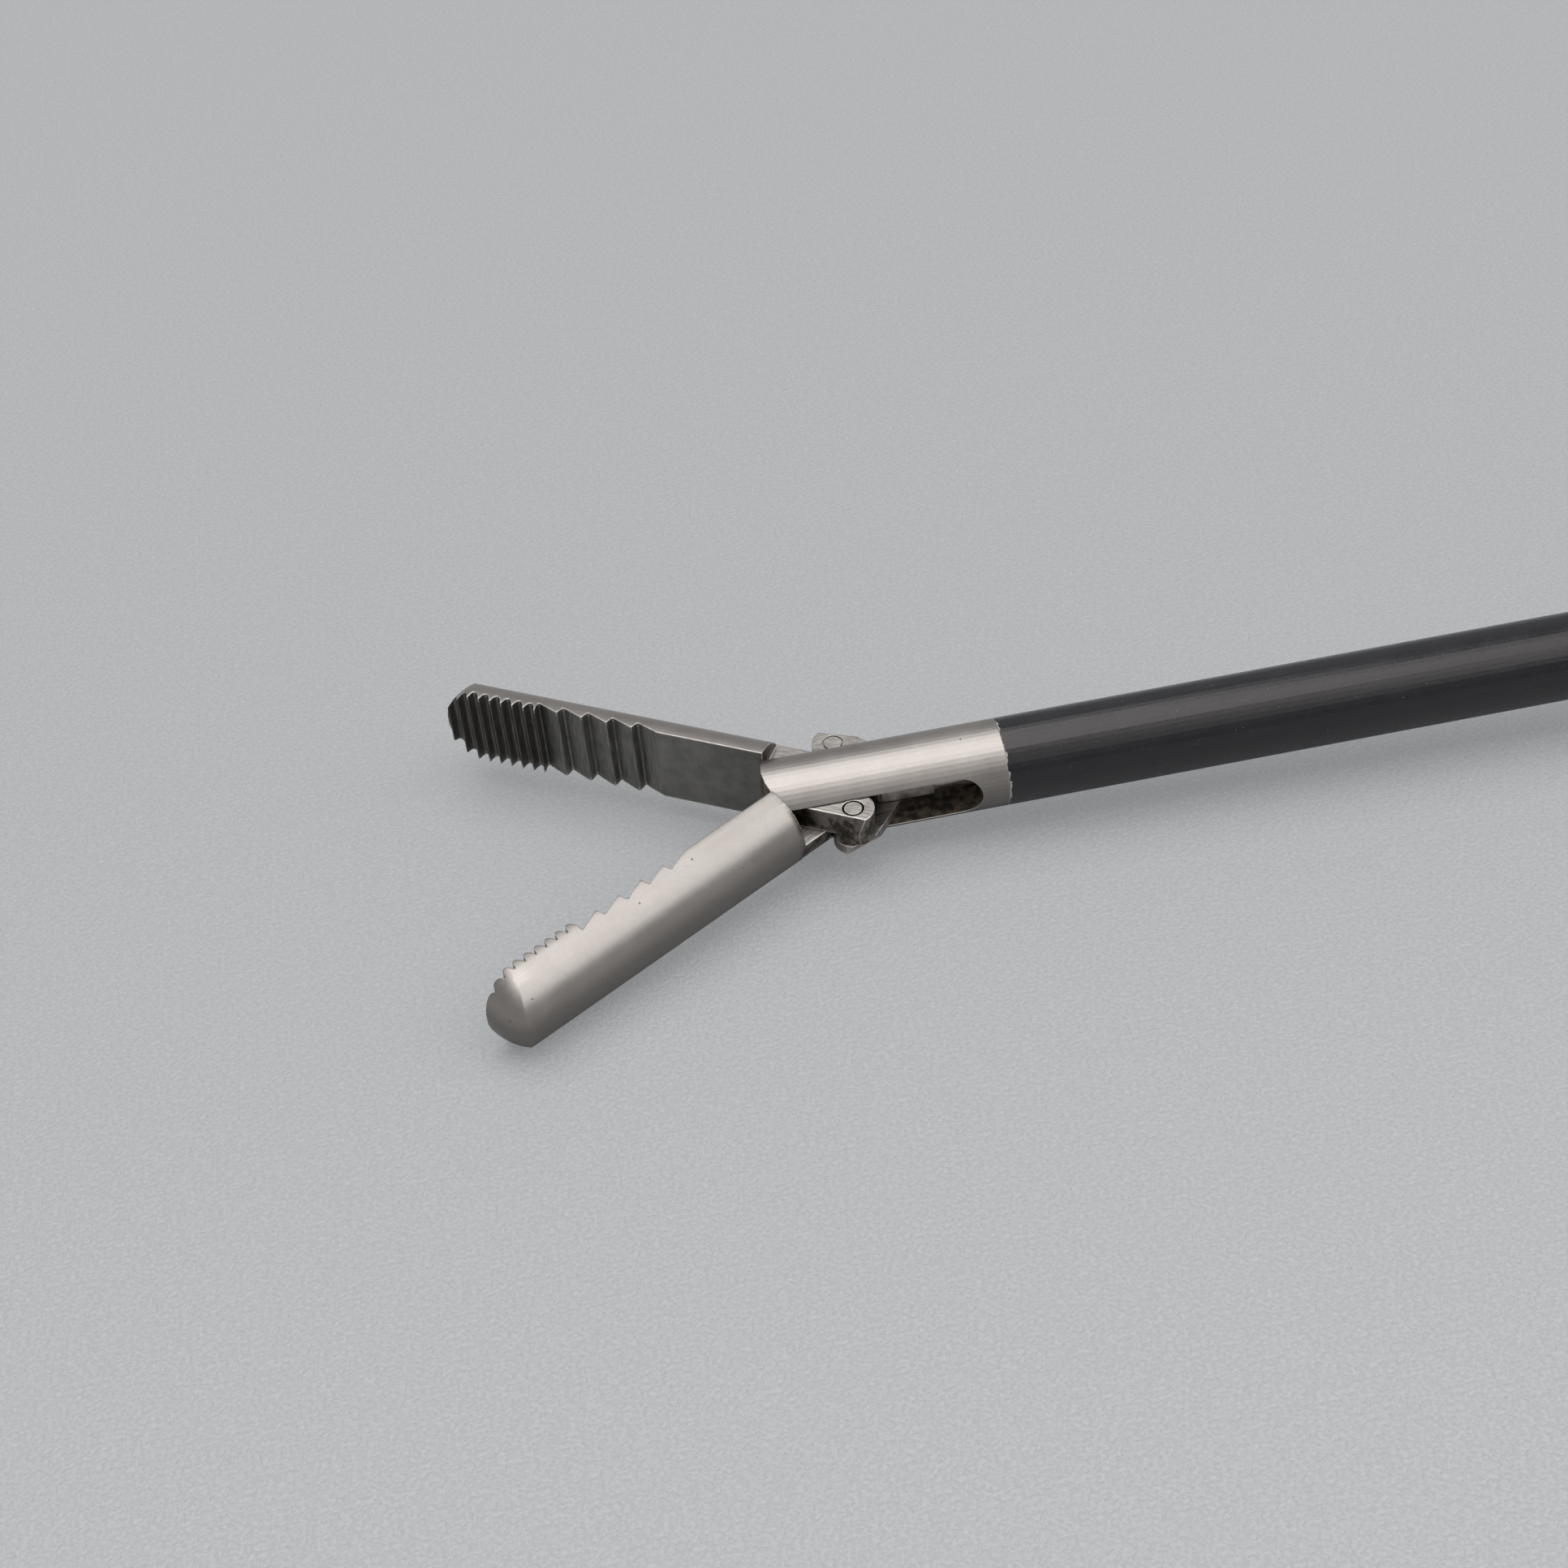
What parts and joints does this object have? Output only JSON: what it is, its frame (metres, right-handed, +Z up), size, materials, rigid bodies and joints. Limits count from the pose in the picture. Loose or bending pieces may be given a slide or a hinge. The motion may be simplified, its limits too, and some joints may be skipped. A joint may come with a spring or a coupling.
{
  "type": "laparoscopic grasping forceps",
  "caption": "Keyhole-surgery grasper: two toothed jaws on a slotted clevis, driven by links and a rod through an insulated shaft, with rotation knob and ring handle.",
  "frame": {"origin": "on the table under the middle of the bounding box, with the forceps lying as it comes to rest", "axes": "+X along the shaft from the jaws to the handle, +Y across the table to the side away from the rings, +Z up"},
  "size_m": [0.4264, 0.115, 0.0224],
  "materials": {
    "satin_steel": "satin, fine blasted grain",
    "ground_steel": "ground, fine tool marks",
    "insulation": "dark blue-black shrink insulation, semi-gloss",
    "handle_plastic": "black moulded, fine texture",
    "knob_plastic": "near-black moulded",
    "silicone": "translucent grey"
  },
  "bodies": {
    "handle": {"handle_body": "handle_plastic", "collar_set_screw": "ground_steel", "hf_post": "satin_steel", "lever_pivot_nut": "satin_steel", "lever_pivot_screw": "satin_steel"},
    "shaft": {"clevis": "satin_steel", "jaw_pivot_pin": "satin_steel", "shaft_tube": "satin_steel", "insulation_sleeve": "insulation", "shaft_collar": "satin_steel", "rod_seal": "silicone", "rotation_knob": "knob_plastic"},
    "rod": {"rod_end_block": "ground_steel", "drive_rod": "ground_steel", "rod_ball": "ground_steel", "rod_link_pin": "ground_steel"},
    "back_jaw": {"jaw_back": "satin_steel"},
    "front_jaw": {"jaw_front": "satin_steel"},
    "lower_link": {"link_lower": "ground_steel", "link_pin_front": "ground_steel"},
    "upper_link": {"link_upper": "ground_steel", "link_pin_back": "ground_steel"},
    "lever": {"thumb_lever": "handle_plastic"}
  },
  "joints": [
    {"name": "shaft_spin", "type": "hinge", "parent": "handle", "child": "shaft", "pos_m": [0.13799, 0.02946, 0.01147], "axis": [0.9997, -0.001, 0.023], "continuous": true},
    {"name": "lever_hinge", "type": "hinge", "parent": "handle", "child": "lever", "pos_m": [0.16499, 0.02146, 0.01142], "axis": [0.023, 0.0833, -0.9963], "range_deg": [0, 14.98]},
    {"name": "rod_slide", "type": "slide", "parent": "shaft", "child": "rod", "axis": [0.9997, -0.001, 0.023], "range_m": [0, 0.00217]},
    {"name": "back_jaw_hinge", "type": "hinge", "parent": "shaft", "child": "back_jaw", "pos_m": [-0.19323, 0.02978, 0.00387], "axis": [-0.023, -0.0833, 0.9963], "range_deg": [0, 31.19]},
    {"name": "front_jaw_hinge", "type": "hinge", "parent": "shaft", "child": "front_jaw", "pos_m": [-0.19323, 0.02978, 0.00387], "axis": [0.023, 0.0833, -0.9963], "range_deg": [0, 31.19]},
    {"name": "lower_link_hinge", "type": "hinge", "parent": "rod", "child": "lower_link", "pos_m": [-0.189, 0.02978, 0.00396], "axis": [0.023, 0.0833, -0.9963], "range_deg": [0, 23.24]},
    {"name": "upper_link_hinge", "type": "hinge", "parent": "rod", "child": "upper_link", "pos_m": [-0.189, 0.02978, 0.00396], "axis": [-0.023, -0.0833, 0.9963], "range_deg": [0, 23.24]}
  ],
  "couplings": [
    {"joint": "rod_slide", "follows": "lever_hinge", "m_per_rad": 0.0083107},
    {"joint": "back_jaw_hinge", "follows": "lever_hinge", "ratio": 2.0815},
    {"joint": "front_jaw_hinge", "follows": "lever_hinge", "ratio": 2.0815},
    {"joint": "lower_link_hinge", "follows": "lever_hinge", "ratio": 1.5509},
    {"joint": "upper_link_hinge", "follows": "lever_hinge", "ratio": 1.5509}
  ]
}
